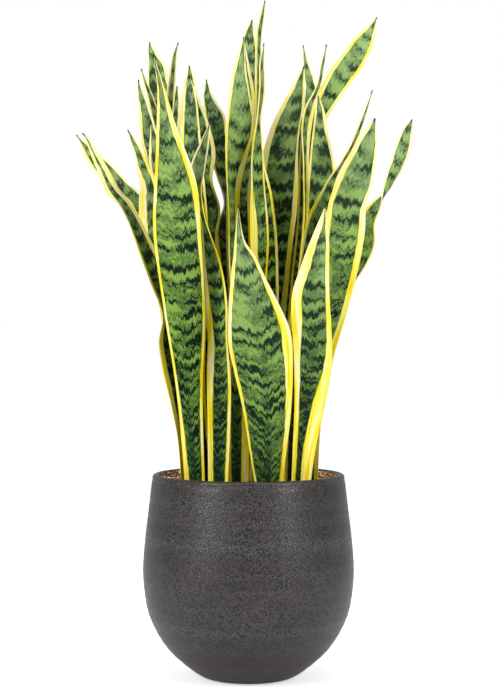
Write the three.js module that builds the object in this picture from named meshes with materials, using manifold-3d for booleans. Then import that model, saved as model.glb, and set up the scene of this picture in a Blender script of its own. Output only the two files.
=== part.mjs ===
// Potted laurentii snake plant: a round-bellied stoneware pot filled with soil, and the
// upright, yellow-edged leaves of the plant standing in it.
// Millimetres, +Z up, +X to the right of the front view, +Y away from the viewer.
// The origin is the centre of the pot's flat underside.

import * as THREE from 'three';
import { mergeVertices } from 'three/addons/utils/BufferGeometryUtils.js';
import Module from 'manifold-3d';

// Driving sizes of the pot
const POT_HEIGHT = 270;
const WALL = 9.5;
const RIM_RADIUS = 127;
const BELLY_RADIUS = 139.5;
const BELLY_HEIGHT = 138;
const BASE_RADIUS = 48;
const FLOOR_THICKNESS = 12;
const FLOOR_CORNER = 8;
const POT_SIDES = 48;
const WALL_STEPS = 16;
const LIP_STEPS = 6;

// The outer wall between its base and its lip, as radius and height
const OUTER_WALL = [
  [BASE_RADIUS, 0],
  [63, 4],
  [82, 17],
  [105, 38],
  [122, 63],
  [134, 93],
  [BELLY_RADIUS, BELLY_HEIGHT],
  [137, 182],
  [133, 216],
  [RIM_RADIUS, POT_HEIGHT - WALL / 2],
];

// Driving sizes of the soil
const SOIL_EDGE_HEIGHT = 267;
const SOIL_DIP = 8;
const SOIL_STEPS = 6;
const BUMP_HEIGHT = 1.4;
const BUMP_LENGTH = 34;
const BUMP_SLANT = [0.4, 0.6];
const BUMP_STRETCH = 0.8;
const EDGE_FADE_POWER = 4;
const TOUCHING_GAP = 0.5;
const HOLE_CLEARANCE = 1.3;
const HOLE_TOP = 285;
const HOLE_POINT = 10;

// Driving sizes of a leaf's section, in millimetres or as shares of the blade's width
const RINGS = 18;
const RING_CROWDING = 1.3;
const ACROSS = [-1, -0.5, 0, 0.5, 1];
const EDGE_THICKNESS = 1.0;
const FOOT_THICKNESS = 6.0;
const BLADE_THICKNESS = 2.6;
const THICKNESS_GAIN = 0.12;
const FOOT_CHANNEL = 0.26;
const BLADE_CHANNEL = 0.1;
const CHANNEL_DEPTH_SHARE = 0.4;
const FOOT_FADE = 190;
const NARROWEST = 1.6;
const EDGE_WAVE = 0.035;
const WAVE_LENGTH = 150;

// Colours and roughness of the finishes
const POT_COLOUR = 0x4b4644;
const POT_ROUGHNESS = 0.55;
const SOIL_COLOUR = 0x6b4a33;
const SOIL_ROUGHNESS = 0.95;
const LEAF_COLOUR = 0x4f7a3a;
const LEAF_ROUGHNESS = 0.4;

// Each leaf is a list of stations from its foot in the soil to its tip. A station is
// [x, y, z, width, turn]: a point of the midrib, the blade's width there, and the
// angle in degrees by which the blade's face is turned from the front to the right.
// bend is the side that the channel opens to: 1 is the face seen at no turn, -1 its back.
const LEAVES = [
  // Left group: the two that bow far out over the rim
  {
    name: 'leaf_01', bend: 1, stations: [
      [-62, 9, 232, 24, 30], [-71, 8, 321, 28, 20], [-91, 8, 401, 34, 0], [-98, 8, 481, 36, -20],
      [-117, 10, 546, 35, -35], [-129, 12, 591, 32, -45], [-148, 15, 632, 31, -50],
      [-171, 18, 653, 28, -35], [-195, 25, 676, 24, -15], [-210, 31, 692, 17, 0], [-222, 37, 709, 6, 0],
      [-231, 44, 721, 0, 0]],
  },
  {
    name: 'leaf_02', bend: 1, stations: [
      [-79, -28, 232, 24, 40], [-83, -30, 312, 29, 42], [-92, -31, 368, 34, 45], [-105, -32, 440, 40, 45],
      [-104, -32, 478, 38, 57], [-119, -33, 525, 38, 56], [-133, -35, 561, 37, 58],
      [-150, -38, 601, 33, 58], [-162, -42, 623, 28, 55], [-176, -47, 641, 20, 40],
      [-188, -53, 667, 14, 15], [-198, -58, 687, 10, 0], [-207, -64, 706, 5, 0], [-213, -68, 713, 0, 0]],
  },
  // Left group: the shorter ones behind the tall front leaf, front to back
  {
    name: 'leaf_03', bend: 1, stations: [
      [-64, -7, 232, 24, 0], [-82, -5, 401, 34, -20], [-97, -6, 475, 36, -35], [-113, -7, 539, 36, -35],
      [-126, -8, 577, 34, -30], [-130, -9, 625, 29, -20], [-132, -10, 648, 22, -5],
      [-138, -12, 671, 16, 0], [-144, -14, 691, 11, 0], [-153, -17, 712, 5, 0], [-158, -19, 722, 0, 0]],
  },
  {
    name: 'leaf_04', bend: 1, stations: [
      [-60, 38, 232, 24, 0], [-87, 35, 406, 32, 0], [-101, 37, 527, 38, -15], [-115, 42, 634, 37, -25],
      [-125, 49, 695, 30, -25], [-132, 54, 716, 26, -25], [-137, 58, 742, 20, -25],
      [-140, 61, 757, 16, -25], [-144, 64, 772, 12, -25], [-147, 67, 785, 6, -25], [-149, 70, 798, 0, -25]],
  },
  {
    name: 'leaf_05', bend: 1, stations: [
      [-52, 58, 232, 24, 15], [-82, 64, 432, 34, 25], [-100, 68, 580, 34, 45], [-116, 76, 690, 28, 55],
      [-127, 84, 749, 20, 60], [-134, 90, 776, 14, 60], [-142, 96, 799, 5, 50], [-147, 100, 817, 0, 50]],
  },
  {
    name: 'leaf_06', bend: 1, stations: [
      [-61, 23, 232, 24, 0], [-88, 22, 433, 34, 0], [-105, 25, 580, 33, -12], [-114, 28, 657, 26, -15],
      [-121, 30, 680, 23, -15], [-125, 32, 707, 15, -15], [-128, 34, 727, 6, -15], [-130, 36, 738, 0, -15]],
  },
  {
    name: 'leaf_07', bend: 1, stations: [
      [-40, 76, 232, 24, 15], [-78, 80, 405, 36, 0], [-93, 86, 554, 43, -15], [-108, 99, 691, 42, -25],
      [-116, 112, 761, 39, -25], [-124, 121, 798, 32, -25], [-127, 128, 819, 27, -25],
      [-132, 136, 835, 17, -25], [-136, 144, 848, 9, -25], [-138, 150, 860, 0, -25]],
  },
  // The tall broad leaf in front on the left
  {
    name: 'leaf_08', bend: -1, stations: [
      [-68, -48, 232, 25, 0], [-76, -56, 367, 33, -8], [-82, -66, 478, 52, -5], [-91, -79, 582, 61, 0],
      [-93, -91, 645, 54, 0], [-103, -106, 712, 27, 0], [-110, -119, 765, 9, 0], [-119, -131, 805, 0, 0]],
  },
  // Between the left group and the middle
  {
    name: 'leaf_09', bend: 1, stations: [
      [-36, 48, 232, 24, 0], [-74, 51, 405, 34, 10], [-85, 56, 526, 36, 20], [-97, 65, 662, 32, 40],
      [-107, 76, 744, 26, 55], [-107, 83, 780, 20, 62], [-105, 88, 802, 16, 60], [-103, 93, 823, 11, 55],
      [-100, 98, 841, 5, 40], [-96, 102, 853, 0, 30]],
  },
  {
    name: 'leaf_10', bend: 1, stations: [
      [-38, 7, 232, 24, 0], [-54, 9, 406, 29, 0], [-77, 11, 526, 31, 10], [-92, 15, 659, 26, 20],
      [-97, 18, 719, 17, 25], [-95, 20, 752, 13, 25], [-95, 22, 771, 9, 25], [-95, 24, 784, 0, 25]],
  },
  {
    name: 'leaf_11', bend: 1, stations: [
      [-30, 26, 232, 24, 0], [-38, 29, 366, 34, -10], [-44, 31, 500, 40, -40], [-49, 34, 587, 42, -60],
      [-45, 36, 620, 43, -60], [-58, 40, 660, 39, -50], [-63, 44, 700, 38, -10], [-73, 48, 741, 35, 0],
      [-77, 50, 762, 27, 0], [-79, 53, 782, 19, 0], [-79, 57, 797, 13, 0], [-80, 62, 816, 0, 0]],
  },
  {
    name: 'leaf_12', bend: 1, stations: [
      [-54, -24, 232, 22, 10], [-69, -30, 368, 26, 15], [-70, -28, 442, 28, 0], [-70, -17, 592, 38, -15],
      [-74, -9, 685, 29, -20], [-75, -7, 724, 25, -20], [-76, -6, 756, 20, -20], [-77, -5, 776, 13, -20],
      [-78, -5, 794, 0, -20]],
  },
  // Middle group, left to right
  {
    name: 'leaf_13', bend: 1, stations: [
      [-14, 54, 232, 24, 0], [-30, 57, 432, 38, 20], [-34, 60, 567, 36, 45], [-31, 62, 601, 34, 48],
      [-29, 64, 630, 30, 68], [-35, 68, 663, 28, 50], [-37, 72, 683, 28, 25], [-40, 77, 704, 30, 5],
      [-43, 82, 725, 29, 0], [-45, 87, 746, 27, 0], [-52, 94, 766, 19, 0], [-56, 99, 781, 12, 0],
      [-57, 105, 794, 5, 0], [-58, 109, 803, 0, 0]],
  },
  {
    name: 'leaf_14', bend: 1, stations: [
      [-40, -47, 232, 24, 0], [-38, -48, 369, 31, 0], [-38, -49, 447, 34, -40], [-40, -50, 499, 34, -38],
      [-46, -51, 547, 34, -45], [-58, -53, 608, 33, -82], [-66, -54, 641, 32, -65],
      [-64, -56, 670, 28, -45], [-57, -59, 696, 18, -40], [-49, -63, 728, 0, -40]],
  },
  {
    name: 'leaf_15', bend: 1, stations: [
      [-15, -22, 232, 27, 15], [-15, -24, 368, 36, 40], [-13, -28, 482, 46, 60], [-20, -25, 578, 49, 70],
      [-22, -23, 644, 50, 70], [-18, -21, 692, 50, 58], [-12, -19, 732, 43, 30], [-12, -17, 767, 30, 18],
      [-12, -16, 794, 20, 15], [-9, -15, 820, 9, 15], [-6, -14, 844, 0, 15]],
  },
  {
    name: 'leaf_16', bend: 1, stations: [
      [-7, 3, 232, 24, 0], [-5, 17, 401, 36, -5], [-8, 20, 562, 42, -10], [-9, 22, 703, 37, -10],
      [-7, 26, 774, 30, -5], [-6, 28, 810, 15, 0], [-6, 30, 847, 0, 0]],
  },
  {
    name: 'leaf_17', bend: 1, stations: [
      [4, 30, 232, 24, 10], [6, 32, 401, 38, 5], [3, 35, 562, 46, -10], [0, 40, 702, 39, -15],
      [1, 46, 769, 31, -15], [2, 53, 821, 25, -15], [2, 58, 855, 16, -15], [5, 63, 878, 0, -15]],
  },
  // The tallest leaf, nearly edge on, and the narrow one in front of it
  {
    name: 'leaf_18', bend: 1, stations: [
      [24, 4, 232, 24, -10], [22, 3, 401, 36, -10], [21, 4, 499, 38, 0], [19, 5, 578, 38, 0],
      [15, 5, 631, 34, 10], [11, 4, 678, 28, 45], [11, 4, 737, 26, 75], [12, 4, 801, 20, 66],
      [13, 3, 846, 12, 50], [19, 2, 881, 5, 30], [22, 2, 894, 0, 0]],
  },
  {
    name: 'leaf_19', bend: 1, stations: [
      [34, -30, 232, 24, 10], [30, -27, 402, 34, 20], [15, -24, 500, 30, 50], [13, -22, 579, 35, 50],
      [11, -21, 650, 32, 53], [11, -21, 696, 24, 52], [13, -22, 738, 18, 78], [17, -24, 774, 14, 60],
      [17, -27, 806, 10, 50], [20, -30, 833, 0, 50]],
  },
  // Right group, from the middle outwards
  {
    name: 'leaf_20', bend: 1, stations: [
      [22, 46, 232, 24, 0], [23, 44, 370, 36, 0], [28, 43, 475, 43, -10], [35, 43, 573, 54, -20],
      [41, 44, 634, 57, -25], [44, 47, 693, 53, -25], [50, 51, 727, 45, -25], [59, 56, 756, 34, -25],
      [67, 61, 785, 18, -25], [75, 68, 816, 0, -25]],
  },
  {
    name: 'leaf_21', bend: 1, stations: [
      [42, 64, 232, 24, 0], [62, 64, 400, 36, 10], [81, 65, 571, 46, 28], [86, 75, 704, 40, 32],
      [86, 83, 760, 31, 32], [85, 91, 787, 21, 32], [81, 99, 809, 15, 32], [78, 107, 827, 7, 32],
      [75, 116, 851, 0, 32]],
  },
  {
    name: 'leaf_22', bend: 1, stations: [
      [54, 14, 232, 24, 30], [60, 15, 401, 32, 60], [74, 18, 606, 32, 80], [75, 21, 673, 30, 80],
      [75, 23, 703, 27, 70], [76, 25, 728, 23, 52], [81, 27, 754, 19, 42], [89, 29, 774, 10, 40],
      [94, 30, 787, 7, 35], [99, 32, 815, 5, 35], [104, 34, 841, 0, 40]],
  },
  {
    name: 'leaf_23', bend: 1, stations: [
      [64, 48, 232, 24, 0], [80, 47, 380, 36, 0], [88, 46, 500, 46, 15], [96, 48, 633, 46, 25],
      [98, 51, 681, 39, 25], [97, 54, 708, 31, 25], [96, 58, 729, 22, 25], [96, 62, 750, 16, 25],
      [95, 66, 765, 9, 25], [94, 70, 777, 0, 25]],
  },
  {
    name: 'leaf_24', bend: 1, stations: [
      [22, 78, 232, 24, -10], [40, 78, 400, 38, 0], [50, 80, 521, 43, 10], [66, 91, 663, 42, 18],
      [82, 102, 734, 32, 20], [104, 111, 771, 29, 20], [125, 121, 806, 34, 20], [146, 132, 835, 33, 20],
      [162, 144, 862, 25, 20], [172, 154, 880, 12, 20], [180, 163, 897, 0, 20]],
  },
  {
    name: 'leaf_25', bend: 1, stations: [
      [56, -14, 232, 24, 20], [63, -11, 463, 34, 45], [70, -10, 520, 36, 55], [80, -8, 571, 38, 55],
      [88, -5, 604, 36, 50], [100, -1, 632, 32, 50], [110, 3, 658, 24, 60], [122, 8, 679, 18, 70],
      [137, 14, 705, 16, 70], [150, 20, 736, 9, 60], [165, 27, 779, 0, 50]],
  },
  {
    name: 'leaf_26', bend: 1, stations: [
      [78, -34, 232, 27, -20], [78, -36, 331, 33, -10], [82, -39, 374, 35, 0], [92, -43, 440, 43, 8],
      [106, -48, 499, 51, 12], [117, -53, 551, 54, 18], [123, -58, 589, 55, 20], [126, -62, 621, 54, 20],
      [134, -67, 647, 51, 20], [140, -71, 666, 44, 20], [146, -75, 684, 35, 20], [151, -80, 702, 26, 20],
      [156, -85, 717, 14, 20], [161, -90, 730, 0, 20]],
  },
  {
    name: 'leaf_27', bend: 1, stations: [
      [64, -58, 232, 24, 20], [70, -64, 306, 31, 18], [78, -72, 371, 41, 10], [82, -79, 423, 49, 5],
      [79, -89, 499, 49, 0], [84, -97, 537, 37, 0], [91, -106, 577, 22, 0], [97, -116, 618, 0, 0]],
  },
  // The one that bows out at the far right and turns over near its tip
  {
    name: 'leaf_28', bend: -1, stations: [
      [77, 20, 232, 24, 115], [88, 16, 367, 34, 130], [107, 10, 459, 38, 130], [128, 6, 519, 42, 130],
      [143, 5, 546, 42, 130], [153, 4, 572, 42, 130], [156, 4, 599, 38, 125], [170, 4, 625, 32, 116],
      [182, 4, 645, 26, 72], [188, 4, 658, 24, 57], [197, 4, 678, 22, 30], [204, 4, 698, 20, 10],
      [207, 4, 710, 18, 0], [211, 4, 724, 12, 0], [216, 4, 738, 0, 0]],
  },
  // The short broad leaf in front in the middle
  {
    name: 'leaf_29', bend: -1, stations: [
      [26, -78, 232, 26, 0], [25, -86, 307, 48, 0], [24, -92, 359, 62, 0], [19, -99, 413, 76, 0],
      [14, -105, 450, 80, 0], [6, -112, 489, 64, 0], [0, -119, 519, 47, 0], [-5, -126, 547, 31, 0],
      [-11, -132, 572, 13, 0], [-13, -140, 617, 0, 0]],
  },
];

const wasm = await Module();
wasm.setup();

// A smooth curve through the rows of a table, by the lengths between their points:
// gives every column at a share of the whole length.
function smoothRows(rows) {
  const lengths = [0];
  for (let i = 1; i < rows.length; i += 1) {
    const step = Math.hypot(...[0, 1, 2].map((c) => rows[i][c] - rows[i - 1][c]));
    lengths.push(lengths[i - 1] + step);
  }
  const total = lengths[lengths.length - 1];
  const slope = (i, c) => {
    const before = Math.max(i - 1, 0);
    const after = Math.min(i + 1, rows.length - 1);
    return (rows[after][c] - rows[before][c]) / (lengths[after] - lengths[before]);
  };
  const at = (share) => {
    const length = share * total;
    let i = 0;
    while (i < rows.length - 2 && length > lengths[i + 1]) i += 1;
    const span = lengths[i + 1] - lengths[i];
    const t = (length - lengths[i]) / span;
    return rows[i].map((value, c) => {
      const rise = rows[i + 1][c] - value;
      return value
        + slope(i, c) * span * t * (1 - t) ** 2
        - slope(i + 1, c) * span * t * t * (1 - t)
        + rise * t * t * (3 - 2 * t);
    });
  };
  return { at, total };
}

// Shares of a leaf's length at which its rings stand, closer together towards the tip.
function ringShares() {
  return Array.from({ length: RINGS }, (_, i) => 1 - (1 - i / RINGS) ** RING_CROWDING);
}

// One ring of a blade: its face from the left edge to the right, then its back the same way.
// The foot is a thick, deep channel, which opens to a thin and nearly flat blade.
function bladeRing(curve, leaf, share, phase, clearance) {
  const nearby = 0.01;
  const [x, y, z, width, turn] = curve.at(share);
  const ahead = curve.at(Math.min(share + nearby, 1));
  const behind = curve.at(Math.max(share - nearby, 0));
  const along = new THREE.Vector3(...[0, 1, 2].map((c) => ahead[c] - behind[c])).normalize();
  const angle = THREE.MathUtils.degToRad(turn);
  const level = new THREE.Vector3(Math.cos(angle), Math.sin(angle), 0);
  const across = level.addScaledVector(along, -level.dot(along)).normalize();
  const face = new THREE.Vector3().crossVectors(across, along).normalize();
  const height = share * curve.total;
  const foot = Math.exp(-((height / FOOT_FADE) ** 2));
  const wide = Math.max(width, NARROWEST);
  const channel = leaf.bend * wide * (BLADE_CHANNEL + (FOOT_CHANNEL - BLADE_CHANNEL) * foot);
  const middle = BLADE_THICKNESS + (FOOT_THICKNESS - BLADE_THICKNESS) * foot;
  const thickness = Math.min(middle, EDGE_THICKNESS + THICKNESS_GAIN * wide);
  const wave = EDGE_WAVE * wide * (1 - foot) * Math.sin((2 * Math.PI * height) / WAVE_LENGTH + phase);
  const centre = new THREE.Vector3(x, y, z);
  const points = [1, -1].map((side) => ACROSS.map((q) => {
    const half = (EDGE_THICKNESS + (thickness - EDGE_THICKNESS) * (1 - q * q)) / 2 + clearance;
    const curl = channel * (q * q - CHANNEL_DEPTH_SHARE) + wave * q * q * Math.sign(q);
    return centre.clone()
      .addScaledVector(across, q * (wide / 2 + clearance))
      .addScaledVector(face, curl + side * half);
  }));
  return points.flat();
}

// A closed geometry from equal rings: quads between them, split alike on the blade's
// face and back, a flat end at the first ring and a point after the last.
function bladeGeometry(rings, tip) {
  const across = ACROSS.length;
  const size = 2 * across;
  const positions = rings.flat().concat([tip]).flatMap((p) => [p.x, p.y, p.z]);
  const faces = [];
  const quad = (first, second, third, fourth) => {
    faces.push(first, second, third, first, third, fourth);
  };
  const last = (rings.length - 1) * size;
  const apex = rings.length * size;
  const left = [0, across];
  const right = [across - 1, size - 1];
  for (let r = 0; r < rings.length - 1; r += 1) {
    const low = r * size;
    const high = low + size;
    for (let i = 0; i < across - 1; i += 1) {
      const back = i + across;
      quad(low + i, low + i + 1, high + i + 1, high + i);
      quad(low + back, high + back, high + back + 1, low + back + 1);
    }
    quad(low + left[0], high + left[0], high + left[1], low + left[1]);
    quad(low + right[0], low + right[1], high + right[1], high + right[0]);
  }
  for (let i = 0; i < across - 1; i += 1) {
    const back = i + across;
    quad(i, back, back + 1, i + 1);
    faces.push(last + i, last + i + 1, apex, last + back + 1, last + back, apex);
  }
  faces.push(last + left[0], apex, last + left[1], last + right[0], last + right[1], apex);
  const geometry = new THREE.BufferGeometry();
  geometry.setAttribute('position', new THREE.Float32BufferAttribute(positions, 3));
  geometry.setIndex(faces);
  return geometry;
}

// The whole blade of one leaf.
function leafGeometry(leaf, phase) {
  const curve = smoothRows(leaf.stations);
  const rings = ringShares().map((share) => bladeRing(curve, leaf, share, phase, 0));
  const tip = new THREE.Vector3(...curve.at(1).slice(0, 3));
  return bladeGeometry(rings, tip);
}

// The room that one leaf's foot needs in the soil: its lower rings, a little larger,
// with a point above the soil's top.
function holeGeometry(leaf, phase) {
  const curve = smoothRows(leaf.stations);
  const rings = [];
  for (const share of ringShares()) {
    rings.push(bladeRing(curve, leaf, share, phase, HOLE_CLEARANCE));
    if (curve.at(share)[2] > HOLE_TOP) break;
  }
  const down = new THREE.Vector3(0, 0, -HOLE_CLEARANCE);
  rings[0].forEach((point) => point.add(down));
  const top = rings[rings.length - 1];
  const tip = top.reduce((sum, p) => sum.add(p), new THREE.Vector3()).divideScalar(top.length);
  tip.z += HOLE_POINT;
  return bladeGeometry(rings, tip);
}

// A solid for cutting, from a closed geometry.
function toSolid(geometry) {
  const sameCorner = 1e-4;
  const bare = geometry.clone();
  bare.deleteAttribute('normal');
  bare.deleteAttribute('uv');
  const merged = mergeVertices(bare, sameCorner);
  return new wasm.Manifold(new wasm.Mesh({
    numProp: 3,
    vertProperties: new Float32Array(merged.attributes.position.array),
    triVerts: new Uint32Array(merged.index.array),
  }));
}

function fromSolid(solid) {
  const mesh = solid.getMesh();
  const geometry = new THREE.BufferGeometry();
  geometry.setAttribute('position', new THREE.Float32BufferAttribute(mesh.vertProperties, 3));
  geometry.setIndex(Array.from(mesh.triVerts));
  return geometry;
}

// The outer wall from the base to just under the lip.
function outerWall() {
  const points = OUTER_WALL.map(([radius, height]) => new THREE.Vector2(radius, height));
  return new THREE.SplineCurve(points).getPoints(WALL_STEPS);
}

// The inner wall, one wall thickness inside the outer one, from above the floor to the lip,
// or a gap inside that for what fills the pot.
function innerWall(gap) {
  return outerWall()
    .filter((point) => point.y > FLOOR_THICKNESS + FLOOR_CORNER)
    .filter((point, i, all) => i % 2 === (all.length - 1) % 2)
    .map((point) => new THREE.Vector2(point.x - WALL - gap, point.y + gap));
}

// A turned, hollow pot: flat underside, round belly, rounded lip and an even wall.
function potGeometry() {
  const lip = [];
  for (let step = 1; step < LIP_STEPS; step += 1) {
    const angle = (Math.PI * step) / LIP_STEPS;
    const radius = RIM_RADIUS - WALL / 2 + (WALL / 2) * Math.cos(angle);
    lip.push(new THREE.Vector2(radius, POT_HEIGHT - WALL / 2 + (WALL / 2) * Math.sin(angle)));
  }
  const profile = [
    new THREE.Vector2(0, 0),
    ...outerWall(),
    ...lip,
    ...innerWall(0).reverse(),
    new THREE.Vector2(0, FLOOR_THICKNESS),
  ];
  return new THREE.LatheGeometry(profile, POT_SIDES).rotateX(Math.PI / 2);
}

// Low, irregular bumps of the soil's surface.
function soilBump(x, y) {
  const turn = (2 * Math.PI) / BUMP_LENGTH;
  const crossed = Math.sin(turn * x) * Math.cos(turn * BUMP_STRETCH * y);
  const slanted = Math.sin(turn * (BUMP_SLANT[0] * x + BUMP_SLANT[1] * y));
  return BUMP_HEIGHT * (crossed + slanted);
}

// The filling: it follows the pot's inner wall and dips a little from the wall towards the
// middle, with low bumps, and each leaf's foot has a plain hole in it.
function soilGeometry() {
  const inside = innerWall(TOUCHING_GAP);
  const edge = inside[inside.length - 1].x;
  const wall = inside.filter((point) => point.y < SOIL_EDGE_HEIGHT - SOIL_DIP / 2);
  const inwards = (radius) => 1 - Math.min(radius / edge, 1) ** EDGE_FADE_POWER;
  const top = [];
  for (let step = 0; step <= SOIL_STEPS; step += 1) {
    const radius = edge * (1 - step / SOIL_STEPS);
    top.push(new THREE.Vector2(radius, SOIL_EDGE_HEIGHT - SOIL_DIP * inwards(radius)));
  }
  const profile = [new THREE.Vector2(0, FLOOR_THICKNESS + TOUCHING_GAP), ...wall, ...top];
  const geometry = new THREE.LatheGeometry(profile, POT_SIDES).rotateX(Math.PI / 2);
  const position = geometry.attributes.position;
  for (let i = 0; i < position.count; i += 1) {
    const [x, y, z] = [position.getX(i), position.getY(i), position.getZ(i)];
    const bump = inwards(Math.hypot(x, y)) * soilBump(x, y);
    if (z > SOIL_EDGE_HEIGHT - 2 * SOIL_DIP) position.setZ(i, z + bump);
  }
  return fromSolid(LEAVES.reduce(
    (solid, leaf, i) => solid.subtract(toSolid(holeGeometry(leaf, i))),
    toSolid(geometry),
  ));
}

function finish(colour, roughness) {
  return new THREE.MeshStandardMaterial({ color: colour, roughness, metalness: 0 });
}

function piece(name, geometry, material) {
  const mesh = new THREE.Mesh(geometry, material);
  mesh.name = name;
  return mesh;
}

const plant = new THREE.Group();
plant.add(piece('pot', potGeometry(), finish(POT_COLOUR, POT_ROUGHNESS)));
plant.add(piece('soil', soilGeometry(), finish(SOIL_COLOUR, SOIL_ROUGHNESS)));

const leafFinish = finish(LEAF_COLOUR, LEAF_ROUGHNESS);
LEAVES.forEach((leaf, i) => {
  plant.add(piece(leaf.name, leafGeometry(leaf, i), leafFinish));
});

export default plant;
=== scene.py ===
import math

import bpy
import numpy as np
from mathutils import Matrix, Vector


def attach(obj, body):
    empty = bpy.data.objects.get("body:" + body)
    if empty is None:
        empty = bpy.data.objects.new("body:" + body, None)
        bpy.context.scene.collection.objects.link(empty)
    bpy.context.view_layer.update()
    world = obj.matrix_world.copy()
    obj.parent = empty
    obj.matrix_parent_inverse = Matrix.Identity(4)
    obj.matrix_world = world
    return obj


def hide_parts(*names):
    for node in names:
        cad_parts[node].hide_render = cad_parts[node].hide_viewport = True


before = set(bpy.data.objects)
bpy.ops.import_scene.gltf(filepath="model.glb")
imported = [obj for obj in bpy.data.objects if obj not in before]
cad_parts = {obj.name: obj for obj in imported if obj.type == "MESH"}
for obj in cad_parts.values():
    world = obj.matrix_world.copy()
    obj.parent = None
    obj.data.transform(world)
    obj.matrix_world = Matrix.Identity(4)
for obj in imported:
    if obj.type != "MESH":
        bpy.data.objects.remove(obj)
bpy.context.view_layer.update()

scene = bpy.context.scene

# The camera stands in front of the plant, two and a half metres away, with a long lens. As in
# the photograph, it is a little right of the pot's axis and looks down by about a degree.
CAMERA_PLACE = (0.002, -2.5, 0.485)
CAMERA_TILT = math.radians(88.816)
LENS_MM = 97.4

camera_data = bpy.data.cameras.new("camera")
camera_data.lens = LENS_MM
camera = bpy.data.objects.new("camera", camera_data)
camera.location = CAMERA_PLACE
camera.rotation_euler = (CAMERA_TILT, 0, 0)
scene.collection.objects.link(camera)
scene.camera = camera

# The pot: thrown on a wheel from dark stoneware, with an even wall, a rounded lip and a flat
# underside. Its brown-black glaze is gritty, with soft level bands, and thins to a smoother,
# browner foot.
POT_HEIGHT = 0.270
WALL = 0.0095
RIM_RADIUS = 0.127
FLOOR_THICKNESS = 0.012
FLOOR_CORNER = 0.008
POT_SIDES = 192
WALL_STEPS = 96
LIP_STEPS = 12
THROWING_RIDGE = 0.00014
THROWING_PITCH = 0.0105
RIDGE_WANDER = 3
RIDGE_WANDER_HEIGHT = 0.031
RIDGES_TOP = 0.25
RIDGES_FADE = 0.02
LIP_GROOVE = 0.0006
LIP_GROOVE_HEIGHT = 0.2632
LIP_GROOVE_WIDTH = 0.0016
OUTER_WALL = [
    (0.048, 0), (0.063, 0.004), (0.082, 0.017), (0.105, 0.038), (0.122, 0.063), (0.134, 0.093),
    (0.1395, 0.138), (0.137, 0.182), (0.133, 0.216), (RIM_RADIUS, POT_HEIGHT - WALL / 2),
]
GRIT_SCALE = 290
GRIT_DEPTH = 0.0002
CLOUD_SCALE = 16
BAND_SCALE = 45
BARE_FOOT_TOP = 0.06
BARE_FOOT_FULL = 0.035
BARE_FOOT_SMOOTHNESS = 0.8
SCREEN_GAMMA = 2.2


def smooth_wall(points, steps):
    """Radius and height at even steps along a smooth line through the points of a wall."""
    points = np.array(points)
    last = len(points) - 1
    place = np.linspace(0, last, steps + 1)
    i = np.minimum(place.astype(int), last - 1)
    t = (place - i)[:, None]
    start, end = points[i], points[i + 1]
    leave = (end - points[np.maximum(i - 1, 0)]) / 2
    arrive = (points[np.minimum(i + 2, last)] - start) / 2
    rise = end - start
    return start + leave * t * (1 - t) ** 2 - arrive * t**2 * (1 - t) + rise * t**2 * (3 - 2 * t)


def turned(name, profile, sides):
    """A closed body turned from a profile of radius and height that starts and ends on the axis."""
    rings = profile[1:-1]
    angles = np.linspace(0, 2 * math.pi, sides, endpoint=False)
    points = [(0, 0, profile[0][1])]
    for radius, height in rings:
        points += [(radius * math.cos(a), radius * math.sin(a), height) for a in angles]
    points.append((0, 0, profile[-1][1]))
    faces = []
    end = len(points) - 1
    for side in range(sides):
        after = (side + 1) % sides
        faces.append((0, 1 + after, 1 + side))
        for ring in range(len(rings) - 1):
            low = 1 + ring * sides
            faces.append((low + side, low + after, low + sides + after, low + sides + side))
        last = 1 + (len(rings) - 1) * sides
        faces.append((end, last + side, last + after))
    return new_piece(name, points, faces)


def new_piece(name, points, faces):
    """A smooth-shaded mesh object at the origin."""
    mesh = bpy.data.meshes.new(name)
    mesh.from_pydata(points, [], faces)
    mesh.shade_smooth()
    piece = bpy.data.objects.new(name, mesh)
    scene.collection.objects.link(piece)
    return piece


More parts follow.
